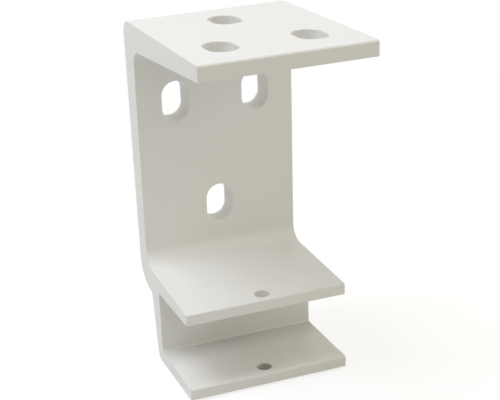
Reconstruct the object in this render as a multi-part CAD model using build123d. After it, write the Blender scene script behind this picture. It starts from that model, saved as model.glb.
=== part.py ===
"""Awning bracket: one length of aluminium extrusion, cut across, drilled, slotted and powder coated.

Seen from the side the section is a top plate that stands out from the wall, a back plate that lies
on the wall, and under it a channel, open to the front, that takes the awning's 40 mm square tube.
A clamp bolt drops through the two jaws of the channel, just in front of the tube.

Frame: X along the extrusion, +Y towards the wall, +Z up. The origin is on the wall face, midway
between the two upper slots. The section is drawn with two distances: `d`, out from the wall face,
and `h`, down from the top face.
"""
from build123d import *
from math import radians, sin, tan
import os

# Driving dimensions, in millimetres
WIDTH = 100.0          # cut length of the extrusion
DEPTH = 130.0          # wall face to the top plate's front edge

# Top plate: flat on top, tapered from the root to the tip underneath
TOP_TIP_T = 9.0
TOP_ROOT_T = 16.2
TOP_CORNER_R = 9.0     # outer corner between the top plate and the back plate
TOP_NOSE_R = 1.4       # rounded upper front edge
TOP_CHIN_R = 1.4       # rounded lower front edge

# Back plate: flat on the wall side, tapered on the room side
BACK_T_UPPER = 17.0
BACK_T_LOWER = 14.4
BACK_UPPER_H = 30.0    # where the upper thickness is measured
BACK_LOWER_H = 140.0   # where the lower thickness is measured
FILLET_UPPER_R = 10.0  # inside corner under the top plate
FILLET_LOWER_R = 10.0  # inside corner above the channel

# Middle plate, the channel's upper jaw
MID_DEPTH = 88.0
MID_TOP_ROOT_H = 152.6  # top face where it meets the back plate
MID_TOP_TIP_H = 155.5   # top face at the front edge
MID_NOSE_R = 1.0
MID_CHIN_R = 0.9

# Channel for the square tube
CHANNEL_D = 35.4       # channel's back wall, from the wall face
CHANNEL_ROOF_ROOT_H = 164.0
CHANNEL_ROOF_TIP_H = 162.7
CHANNEL_FLOOR_H = 204.2
CHANNEL_ROOF_R = 0.5   # small fillet along the roof's back corner
CHANNEL_FOOT_R = 1.2   # small fillet along the floor's back corner

# Outside of the channel, under the back plate
SHOULDER_R = 17.8      # where the back plate turns in under itself
SHOULDER_H = 169.0
NECK_R = 3.4           # inside corner between the shoulder and the channel's web
WEB_D_TOP = 21.0       # web's outer face at the shoulder, from the wall face
WEB_D_FOOT = 26.6      # web's outer face at the underside
HEEL_R = 5.5

# Bottom plate, the channel's lower jaw, with a low lip that stops the tube
BASE_DEPTH = 88.5
BASE_ROOT_H = 212.4    # underside at the heel, before the heel is rounded
BASE_TIP_H = 210.9     # underside at the front edge
LIP_D = 79.6
LIP_RISE = 0.4
LIP_RAMP = 0.6
LIP_R = 0.5
BASE_NOSE_R = 1.2
BASE_CHIN_R = 0.5

# Slots for the wall and ceiling bolts, and the clamp bolt's holes
SLOT_W = 17.0
SLOT_L = 25.0
SLOT_HALF_PITCH = 25.5
BACK_PAIR_H = 50.0
BACK_SINGLE_H = 120.0
TOP_SINGLE_D = 38.0
TOP_PAIR_D = 98.0
CLAMP_R = 4.5
CLAMP_D = 79.9

# Small chamfers that stand for the deburred edges
MOUTH_BREAK = 0.35     # round the mouths of the slots and holes
CUT_BREAK = 0.25       # round the two sawn ends

# Cutters reach past the metal by this much on each side
OVERCUT = 10.0
# Two lengths closer than this count as equal
NEAR = 0.01


def place(x, d, h):
    """Point at x along the extrusion, d out from the wall and h down from the top face."""
    return Vector(x, -d, BACK_PAIR_H - h)


def meet(first, second):
    """Where two straight lines of the section cross, each given by two (d, h) points."""
    (ax, ay), (bx, by) = first
    (cx, cy), (dx, dy) = second
    cross = (bx - ax) * (dy - cy) - (by - ay) * (dx - cx)
    along = ((cx - ax) * (dy - cy) - (cy - ay) * (dx - cx)) / cross
    return (ax + along * (bx - ax), ay + along * (by - ay))


def section():
    """Corners of the section as (d, h), each with its radius, round the outline from the wall."""
    top_underside = ((BACK_T_UPPER, TOP_ROOT_T), (DEPTH, TOP_TIP_T))
    back_room_side = ((BACK_T_UPPER, BACK_UPPER_H), (BACK_T_LOWER, BACK_LOWER_H))
    mid_top = ((BACK_T_LOWER, MID_TOP_ROOT_H), (MID_DEPTH, MID_TOP_TIP_H))
    lip_h = CHANNEL_FLOOR_H - LIP_RISE
    return [
        ((0, 0), TOP_CORNER_R),
        ((DEPTH, 0), TOP_NOSE_R),
        ((DEPTH, TOP_TIP_T), TOP_CHIN_R),
        (meet(top_underside, back_room_side), FILLET_UPPER_R),
        (meet(back_room_side, mid_top), FILLET_LOWER_R),
        ((MID_DEPTH, MID_TOP_TIP_H), MID_NOSE_R),
        ((MID_DEPTH, CHANNEL_ROOF_TIP_H), MID_CHIN_R),
        ((CHANNEL_D, CHANNEL_ROOF_ROOT_H), CHANNEL_ROOF_R),
        ((CHANNEL_D, CHANNEL_FLOOR_H), CHANNEL_FOOT_R),
        ((LIP_D, CHANNEL_FLOOR_H), LIP_R),
        ((LIP_D + LIP_RAMP, lip_h), LIP_R),
        ((BASE_DEPTH, lip_h), BASE_NOSE_R),
        ((BASE_DEPTH, BASE_TIP_H), BASE_CHIN_R),
        ((WEB_D_FOOT, BASE_ROOT_H), HEEL_R),
        ((WEB_D_TOP, SHOULDER_H), NECK_R),
        ((0, SHOULDER_H), SHOULDER_R),
    ]


def rounding(before, corner, after, radius):
    """Start, middle and end of the arc that rounds one corner, tangent to both of its lines."""
    back = (before - corner).normalized()
    on = (after - corner).normalized()
    half = radians(back.get_angle(on)) / 2
    trim = radius / tan(half)
    reach = radius / sin(half) - radius
    return corner + back * trim, corner + (back + on).normalized() * reach, corner + on * trim


def outline(corners):
    """The section as one closed wire of straight lines and tangent arcs."""
    points = [place(0, *corner) for corner, _ in corners]
    following = points[1:] + points[:1]
    arcs = [rounding(points[i - 1], points[i], following[i], radius)
            for i, (_, radius) in enumerate(corners)]
    edges = []
    for arc, next_arc in zip(arcs, arcs[1:] + arcs[:1]):
        edges.append(ThreePointArc(*arc))
        edges.append(Line(arc[-1], next_arc[0]))
    return Wire(edges)


def slot_cutter(plate_t):
    """A straight slot with round ends, its length along Y, centred on the face it starts from."""
    shape = Rotation(0, 0, 90) * SlotOverall(SLOT_L, SLOT_W)
    return extrude(shape, plate_t + OVERCUT, both=True)


def build_bracket():
    """The extruded bar with its slots and holes, every edge still sharp."""
    bar = extrude(Face(outline(section())), WIDTH / 2, dir=(1, 0, 0), both=True)

    # Three upright slots through the back plate, so the bracket can be set level on the wall
    back_slots = ((-SLOT_HALF_PITCH, BACK_PAIR_H), (SLOT_HALF_PITCH, BACK_PAIR_H), (0, BACK_SINGLE_H))
    for x, h in back_slots:
        bar -= Location(place(x, 0, h)) * Rotation(90, 0, 0) * slot_cutter(BACK_T_UPPER)

    # Three slots through the top plate, running out from the wall, for fixing under a ceiling
    top_slots = ((0, TOP_SINGLE_D), (-SLOT_HALF_PITCH, TOP_PAIR_D), (SLOT_HALF_PITCH, TOP_PAIR_D))
    for x, d in top_slots:
        bar -= Location(place(x, d, 0)) * slot_cutter(TOP_ROOT_T)

    # One drilling through both jaws of the channel for the clamp bolt
    jaws = BASE_ROOT_H - MID_TOP_ROOT_H
    drill = Cylinder(CLAMP_R, jaws + 2 * OVERCUT)
    bar -= Location(place(0, CLAMP_D, MID_TOP_ROOT_H + jaws / 2)) * drill
    return bar


def hole_walls(bar):
    """The inner faces of the slots and the clamp holes."""
    walls = []
    for face in bar.faces():
        if face.geom_type == GeomType.CYLINDER:
            bored = min(abs(face.radius - SLOT_W / 2), abs(face.radius - CLAMP_R)) < NEAR
            if bored:
                walls.append(face)
        elif abs(face.normal_at().X) > 1 - NEAR and abs(face.center().X) < WIDTH / 2 - NEAR:
            walls.append(face)
    return walls


def mouths(bar):
    """Edges where a slot or hole opens, apart from the rim in the channel that crosses the lip."""
    edges = [edge for wall in hole_walls(bar) for edge in wall.edges()]
    lip_z = place(0, LIP_D, CHANNEL_FLOOR_H - LIP_RISE / 2).Z
    found = []
    for edge in edges:
        between_walls = sum(edge.is_same(other) for other in edges) > 1
        on_lip = abs(edge.center().Z - lip_z) < LIP_RISE
        if not between_walls and not on_lip:
            found.append(edge)
    return found


def end_outlines(bar):
    """The outline of the section on each sawn end."""
    return [edge for edge in bar.edges()
            if edge.bounding_box().size.X < NEAR and abs(abs(edge.center().X) - WIDTH / 2) < NEAR]


sharp = build_bracket()
eased = chamfer(mouths(sharp), MOUTH_BREAK)
bracket = chamfer(end_outlines(eased), CUT_BREAK).solid()
bracket.label = "bracket"

os.makedirs("parts", exist_ok=True)
export_step(bracket, "parts/bracket.step")
box = bracket.bounding_box()
centre = bracket.center(CenterOf.MASS)
print(f"size {box.size.X:.3f} x {box.size.Y:.3f} x {box.size.Z:.3f} mm")
print(f"volume {bracket.volume / 1000:.1f} cm3, faces {len(bracket.faces())}")
print(f"lowest z {box.min.Z:.3f}, highest z {box.max.Z:.3f} mm")
print(f"centre of mass {centre.X:.2f}, {centre.Y:.2f}, {centre.Z:.2f} mm")
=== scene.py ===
"""The awning bracket in its white powder coat, on a pale studio floor, seen as in the photograph."""
import math

import bpy
from mathutils import Matrix, Vector


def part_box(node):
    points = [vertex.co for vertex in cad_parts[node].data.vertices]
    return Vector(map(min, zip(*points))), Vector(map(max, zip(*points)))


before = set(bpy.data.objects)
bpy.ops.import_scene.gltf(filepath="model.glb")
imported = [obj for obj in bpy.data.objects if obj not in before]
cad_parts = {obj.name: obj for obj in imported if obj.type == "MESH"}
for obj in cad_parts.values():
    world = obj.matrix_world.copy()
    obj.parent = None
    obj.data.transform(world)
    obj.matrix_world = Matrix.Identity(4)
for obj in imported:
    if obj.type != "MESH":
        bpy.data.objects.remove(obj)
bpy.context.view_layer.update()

# Metres in a millimetre
MM = 0.001

# Camera, fitted to the photograph, which is 500 pixels wide and 400 high. The lens axis is kept near
# the photograph's middle height, so that views from other sides hold the whole bracket
PHOTO_W = 500
PHOTO_H = 400
CAMERA_AZIMUTH = -16.741            # degrees; 0 looks along +Y
CAMERA_ELEVATION = 21.413
CAMERA_ROLL = -3.895
CAMERA_DISTANCE = 703.0 * MM
CAMERA_TARGET = Vector((-42.3, -30.0, -65.4)) * MM
CAMERA_FOCAL_PX = 1163.1            # focal length in pixels of the photograph
CAMERA_CENTRE_PX = (162.9, 215.0)   # where the lens axis meets the photograph
SENSOR_W = 36.0
CLIP_NEAR = 0.01
CLIP_FAR = 50.0

# Powder coat
COAT_COLOUR = (0.785, 0.780, 0.764)
COAT_SHADE = (0.765, 0.759, 0.738)  # where the coat lies a little thinner
CLOUD_SIZE = 45 * MM                # patches where the coat is a touch thicker or thinner
PEEL_SIZE = 2.2 * MM                # orange peel, from one hollow to the next
PEEL_DEPTH = 0.06 * MM
GRAIN_SIZE = 0.35 * MM              # powder grains that didn't flow out
GRAIN_DEPTH = 0.01 * MM
WAVE_SIZE = 18 * MM                 # slow waves of an extruded plate
WAVE_DEPTH = 0.03 * MM
ROUGHNESS_SMOOTH = 0.34
ROUGHNESS_DULL = 0.44
PATCH_SIZE = 6.6 * MM               # smoother and duller patches

# Marks of the making that show through the coat
DIE_LINE_SIZE = 1.1 * MM            # extrusion lines, across their length
DIE_LINE_STRETCH = 0.004            # how much slower they change along the extrusion
DIE_LINE_DEPTH = 0.007 * MM
SAW_LINE_SIZE = 0.9 * MM            # saw marks on the two cut ends
SAW_LINE_DEPTH = 0.007 * MM
SAW_CENTRE = Vector((0.0, 190.0, 40.0)) * MM
SAWN_FROM = 0.90                    # how squarely a face looks along the extrusion to be a cut end
SAWN_TO = 0.98

# Marks, and painted shade in the channel's inner corner and in the lower clamp hole
SCRATCH_D = 110.2 * MM              # hairline scratch across the top plate, from the wall face
SCRATCH_SLOPE = 0.034               # how much it runs away from the wall, to the right
SCRATCH_WIDTH = 0.6 * MM
SCRATCH_TINT = 0.08                 # share of the coat's white that the scratch takes
SPECK = Vector((-50.0, -75.4, 43.9)) * MM   # faint spot on the left end of the top plate
SPECK_RADIUS = 1.3 * MM
SPECK_TINT = 0.07
# Painted shade: the channel's floor is darkened along its inner corner, standing in for the shade in
# that recess
RECESS = Vector((0.0, -35.4, -154.2)) * MM  # the channel's inner lower corner
CORNER_SHADE_REACH = 24 * MM              # how far out on the channel's floor the painted shade reaches
RECESS_MARGIN = 0.2 * MM            # how level with the corner a point of the floor is
PAINTED_CORNER_SHADE = 0.20
# Painted shade: the wall of the clamp bolt's hole in the channel's floor is darkened, standing in for
# the shade inside it
BORE = Vector((0.0, -79.9, -158.0)) * MM    # middle of the clamp bolt's hole in the channel's floor
BORE_REACH = 4.7 * MM               # the hole's radius, and part of the chamfer round its mouth
BORE_RISE = 4.7 * MM                # far enough up to hold its whole wall, and under the upper hole
PAINTED_BORE_SHADE = 0.24

# Studio
FLOOR_HALF = 6.0
FLOOR_COLOUR = (0.70, 0.70, 0.70)   # as the light on the bracket meets it
FLOOR_SHADED = (0.28, 0.28, 0.28)   # the share of its white that a full shadow takes away
FLOOR_WHITE = 0.76                  # the share that stays
FADE_FROM = 0.25                    # from here out the floor turns plain white
FADE_TO = 0.80
WORLD_COLOUR = (1.0, 0.98, 0.76)
WORLD_LEVEL = 0.479

# Soft boxes, all of one size and at one distance from the point that they face. Each has its azimuth,
# in degrees from the front towards the left, its elevation, its power in watts and its colour
LAMP_AIM = Vector((0, -50, -60)) * MM
LAMP_DISTANCE = 1.35
LAMP_SIZE = 0.6
LAMPS = {
    "overhead": (90, 72, 7.1, (0.82, 0.87, 1.0)),
    "left": (90, 50, 3.3, (0.82, 0.82, 1.0)),
    "right": (270, 8, 5.4, (1.0, 1.0, 1.0)),
    "front": (315, 28, 2.1, (1.0, 0.86, 0.82)),
    "back": (135, 50, 1.7, (0.82, 0.82, 1.0)),
}

# Sockets of the Mix node for colours, by their place in its lists
MIX_A = 6
MIX_B = 7
MIX_RESULT = 2


def add(tree, kind, inputs=None, **settings):
    """A node with its settings, whose inputs are set to values or linked to other nodes' outputs."""
    made = tree.nodes.new("ShaderNode" + kind)
    for name, value in settings.items():
        setattr(made, name, value)
    for name, value in (inputs or {}).items():
        if isinstance(value, bpy.types.NodeSocket):
            tree.links.new(value, made.inputs[name])
        else:
            made.inputs[name].default_value = value
    return made


def calculate(tree, operation, a, b):
    """The result of one sum on two numbers."""
    return add(tree, "Math", {0: a, 1: b}, operation=operation).outputs[0]


def calculate_vector(tree, operation, a, b):
    """The result of one sum on two vectors."""
    return add(tree, "VectorMath", {0: a, 1: b}, operation=operation).outputs[0]


def length(tree, vector):
    """How long a vector is."""
    return add(tree, "VectorMath", {0: vector}, operation="LENGTH").outputs["Value"]


def noise(tree, place, size, detail):
    """Soft noise from 0 to 1, whose lumps are about this size, with this many finer layers."""
    return add(tree, "TexNoise", {"Vector": place, "Scale": 1 / size, "Detail": detail}).outputs[0]


def dent(tree, height, depth, below=None):
    """A bump of this depth, in metres, laid over the bump below it."""
    inputs = {"Height": height, "Distance": depth, "Strength": 1.0}
    if below:
        inputs["Normal"] = below
    return add(tree, "Bump", inputs).outputs[0]


def sawn_share(tree, normal):
    """1 on the two sawn ends, and 0 on the extruded faces and in the holes."""
    across = add(tree, "SeparateXYZ", {0: normal}).outputs[0]
    squarely = calculate(tree, "ABSOLUTE", across, 0.0)
    levels = {"Value": squarely, "From Min": SAWN_FROM, "From Max": SAWN_TO}
    return add(tree, "MapRange", levels).outputs[0]


def die_lines(tree, place):
    """Fine lines that run the length of the extrusion."""
    stretched = calculate_vector(tree, "MULTIPLY", place, (DIE_LINE_STRETCH, 1, 1))
    return noise(tree, stretched, DIE_LINE_SIZE, detail=3.0)


def saw_lines(tree, place):
    """Arcs that the saw left on the cut ends, round a point outside the section."""
    away = calculate_vector(tree, "SUBTRACT", place, SAW_CENTRE)
    flat = calculate_vector(tree, "MULTIPLY", away, (0, 1, 1))
    rings = add(tree, "CombineXYZ", {0: length(tree, flat)}).outputs[0]
    return noise(tree, rings, SAW_LINE_SIZE, detail=2.0)


def coat_relief(tree, place, sawn):
    """The coat's surface: slow waves, lines of the making, orange peel and grain."""
    waves = dent(tree, noise(tree, place, WAVE_SIZE, detail=1.0), WAVE_DEPTH)
    extruded = calculate(tree, "SUBTRACT", 1.0, sawn)
    drawn = calculate(tree, "MULTIPLY", die_lines(tree, place), extruded)
    cut = calculate(tree, "MULTIPLY", saw_lines(tree, place), sawn)
    marks = dent(tree, cut, SAW_LINE_DEPTH, dent(tree, drawn, DIE_LINE_DEPTH, waves))
    peel = dent(tree, noise(tree, place, PEEL_SIZE, detail=1.0), PEEL_DEPTH, marks)
    return dent(tree, noise(tree, place, GRAIN_SIZE, detail=2.0), GRAIN_DEPTH, peel)


def scratch(tree, place):
    """1 in the hairline scratch across the top plate's face, and 0 elsewhere."""
    x, y, z = add(tree, "SeparateXYZ", {0: place}).outputs
    line = calculate(tree, "SUBTRACT", calculate(tree, "MULTIPLY", x, -SCRATCH_SLOPE), SCRATCH_D)
    off = calculate(tree, "ABSOLUTE", calculate(tree, "SUBTRACT", y, line), 0.0)
    inside = calculate(tree, "LESS_THAN", off, SCRATCH_WIDTH / 2)
    _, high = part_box("bracket")
    on_top = calculate(tree, "GREATER_THAN", z, high.z - SCRATCH_WIDTH)
    return calculate(tree, "MULTIPLY", inside, on_top)


def fading(tree, offset, reach):
    """1 where the offset is nothing, down to 0 where it is as long as the reach."""
    fade = {"Value": length(tree, offset), "From Max": reach, "To Min": 1.0, "To Max": 0.0}
    return add(tree, "MapRange", fade, interpolation_type="SMOOTHSTEP").outputs[0]


def speck(tree, place):
    """1 at the middle of the faint spot on the left end, down to 0 at its rim."""
    return fading(tree, calculate_vector(tree, "SUBTRACT", place, SPECK), SPECK_RADIUS)


def painted_corner_shade(tree, place):
    """Share of the painted shade: 1 on the channel's floor along its inner corner, down to 0 further
    out on it.
    """
    away = calculate_vector(tree, "SUBTRACT", place, RECESS)
    _, y, z = add(tree, "SeparateXYZ", {0: away}).outputs
    in_front = calculate(tree, "LESS_THAN", y, 0.0)
    level = calculate(tree, "LESS_THAN", calculate(tree, "ABSOLUTE", z, 0.0), RECESS_MARGIN)
    near = fading(tree, calculate_vector(tree, "MULTIPLY", away, (0, 1, 1)), CORNER_SHADE_REACH)
    return calculate(tree, "MULTIPLY", near, calculate(tree, "MULTIPLY", in_front, level))


def painted_bore_shade(tree, place):
    """Share of the painted shade: 1 on the wall of the clamp bolt's hole in the channel's floor, and
    0 elsewhere.
    """
    away = calculate_vector(tree, "SUBTRACT", place, BORE)
    radius = length(tree, calculate_vector(tree, "MULTIPLY", away, (1, 1, 0)))
    inside = calculate(tree, "LESS_THAN", radius, BORE_REACH)
    height = add(tree, "SeparateXYZ", {0: away}).outputs[2]
    low = calculate(tree, "LESS_THAN", height, BORE_RISE)
    return calculate(tree, "MULTIPLY", inside, low)


def marked_and_shaded(tree, place, colour):
    """The colour, darker in the scratch and the speck, and with painted shade in the channel's inner
    corner and the lower clamp hole.
    """
    tints = {scratch: SCRATCH_TINT, speck: SPECK_TINT, painted_corner_shade: PAINTED_CORNER_SHADE, painted_bore_shade: PAINTED_BORE_SHADE}
    kept = 1.0
    for share, tint in tints.items():
        lost = calculate(tree, "MULTIPLY", share(tree, place), tint)
        kept = calculate(tree, "SUBTRACT", kept, lost)
    return add(tree, "VectorMath", {0: colour, "Scale": kept}, operation="SCALE").outputs[0]


def powder_coat():
    """Satin white powder coat over extruded aluminium."""
    material = bpy.data.materials.new("powder_coat")
    material.use_nodes = True
    tree = material.node_tree
    shader = tree.nodes["Principled BSDF"]
    coordinates = add(tree, "TexCoord")
    place = coordinates.outputs["Object"]
    cloud = noise(tree, place, CLOUD_SIZE, detail=3.0)
    colours = {"Factor": cloud, MIX_A: (*COAT_SHADE, 1), MIX_B: (*COAT_COLOUR, 1)}
    colour = add(tree, "Mix", colours, data_type="RGBA").outputs[MIX_RESULT]
    tree.links.new(marked_and_shaded(tree, place, colour), shader.inputs["Base Color"])
    patches = noise(tree, place, PATCH_SIZE, detail=3.0)
    levels = {"Value": patches, "To Min": ROUGHNESS_SMOOTH, "To Max": ROUGHNESS_DULL}
    tree.links.new(add(tree, "MapRange", levels).outputs[0], shader.inputs["Roughness"])
    relief = coat_relief(tree, place, sawn_share(tree, coordinates.outputs["Normal"]))
    tree.links.new(relief, shader.inputs["Normal"])
    return material


def dress_bracket(material):
    """The CAD node keeps its mesh and gets the finish."""
    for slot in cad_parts["bracket"].material_slots:
        slot.material = material


def seen(tree):
    """1 for what shows in the picture, directly or through gloss, and 0 for light on its way."""
    path = add(tree, "LightPath")
    straight = path.outputs["Is Camera Ray"]
    mirrored = calculate(tree, "MAXIMUM", straight, path.outputs["Is Glossy Ray"])
    return calculate(tree, "MAXIMUM", mirrored, path.outputs["Is Transmission Ray"])


def make_world():
    """White behind the bracket, and a plain soft light on it."""
    world = bpy.data.worlds.new("studio")
    bpy.context.scene.world = world
    world.use_nodes = True
    tree = world.node_tree
    tree.nodes.clear()
    dim = {"Color": (*WORLD_COLOUR, 1), "Strength": WORLD_LEVEL}
    light = add(tree, "Background", dim).outputs[0]
    white = add(tree, "Background", {"Color": (1, 1, 1, 1), "Strength": 1.0}).outputs[0]
    mixed = add(tree, "MixShader", {0: seen(tree), 1: light, 2: white}).outputs[0]
    add(tree, "OutputWorld", {0: mixed})


def floor_material():
    """Pale grey to the light, and white with the bracket's shadow to the eye."""
    material = bpy.data.materials.new("floor")
    material.use_nodes = True
    tree = material.node_tree
    tree.nodes.clear()
    lit = add(tree, "BsdfDiffuse", {"Color": (*FLOOR_COLOUR, 1)}).outputs[0]
    shadowed = add(tree, "BsdfDiffuse", {"Color": (*FLOOR_SHADED, 1)}).outputs[0]
    kept = add(tree, "Emission", {"Strength": FLOOR_WHITE}).outputs[0]
    near = add(tree, "AddShader", {0: shadowed, 1: kept}).outputs[0]
    far = add(tree, "Emission", {"Strength": 1.0}).outputs[0]
    place = add(tree, "TexCoord").outputs["Object"]
    fade = {"Value": length(tree, place), "From Min": FADE_FROM, "From Max": FADE_TO}
    gone = add(tree, "MapRange", fade, interpolation_type="SMOOTHSTEP").outputs[0]
    look = add(tree, "MixShader", {0: gone, 1: near, 2: far}).outputs[0]
    mixed = add(tree, "MixShader", {0: seen(tree), 1: lit, 2: look}).outputs[0]
    add(tree, "OutputMaterial", {0: mixed})
    return material


def make_floor():
    """A wide floor that the bracket stands on."""
    low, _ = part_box("bracket")
    mesh = bpy.data.meshes.new("floor")
    sides = ((-1, -1), (1, -1), (1, 1), (-1, 1))
    corners = [(x * FLOOR_HALF, y * FLOOR_HALF, 0) for x, y in sides]
    mesh.from_pydata(corners, [], [(0, 1, 2, 3)])
    mesh.materials.append(floor_material())
    floor = bpy.data.objects.new("floor", mesh)
    floor.location.z = low.z
    bpy.context.scene.collection.objects.link(floor)


def soft_box(name, azimuth, elevation, power, colour):
    """A square soft light that faces the bracket from that direction."""
    data = bpy.data.lights.new(name, "AREA")
    data.size = LAMP_SIZE
    data.energy = power
    data.color = colour
    lamp = bpy.data.objects.new(name, data)
    bpy.context.scene.collection.objects.link(lamp)
    turn, lift = math.radians(azimuth), math.radians(elevation)
    side = Vector((-math.sin(turn), -math.cos(turn), 0))
    away = side * math.cos(lift) + Vector((0, 0, math.sin(lift)))
    lamp.location = LAMP_AIM + away * LAMP_DISTANCE
    lamp.rotation_euler = away.to_track_quat("Z", "Y").to_euler()


def camera_axes():
    """Right, up and forward of the camera."""
    angles = (CAMERA_AZIMUTH, CAMERA_ELEVATION, CAMERA_ROLL)
    azimuth, elevation, roll = (math.radians(angle) for angle in angles)
    level_forward = Vector((-math.sin(azimuth), math.cos(azimuth), 0))
    forward = level_forward * math.cos(elevation) - Vector((0, 0, math.sin(elevation)))
    level = forward.cross(Vector((0, 0, 1))).normalized()
    lift = level.cross(forward)
    right = math.cos(roll) * level + math.sin(roll) * lift
    up = math.cos(roll) * lift - math.sin(roll) * level
    return right, up, forward


def make_camera():
    """The photograph's view."""
    right, up, forward = camera_axes()
    data = bpy.data.cameras.new("camera")
    data.sensor_fit = "HORIZONTAL"
    data.sensor_width = SENSOR_W
    data.lens = CAMERA_FOCAL_PX * SENSOR_W / PHOTO_W
    data.shift_x = (PHOTO_W / 2 - CAMERA_CENTRE_PX[0]) / PHOTO_W
    data.shift_y = (CAMERA_CENTRE_PX[1] - PHOTO_H / 2) / PHOTO_W
    data.clip_start = CLIP_NEAR
    data.clip_end = CLIP_FAR
    camera = bpy.data.objects.new("camera", data)
    bpy.context.scene.collection.objects.link(camera)
    turn = Matrix((right, up, -forward)).transposed().to_4x4()
    camera.matrix_world = Matrix.Translation(CAMERA_TARGET - forward * CAMERA_DISTANCE) @ turn
    bpy.context.scene.camera = camera


dress_bracket(powder_coat())
make_world()
make_floor()
for lamp_name, settings in LAMPS.items():
    soft_box(lamp_name, *settings)
make_camera()
bpy.context.scene.view_settings.view_transform = "Standard"
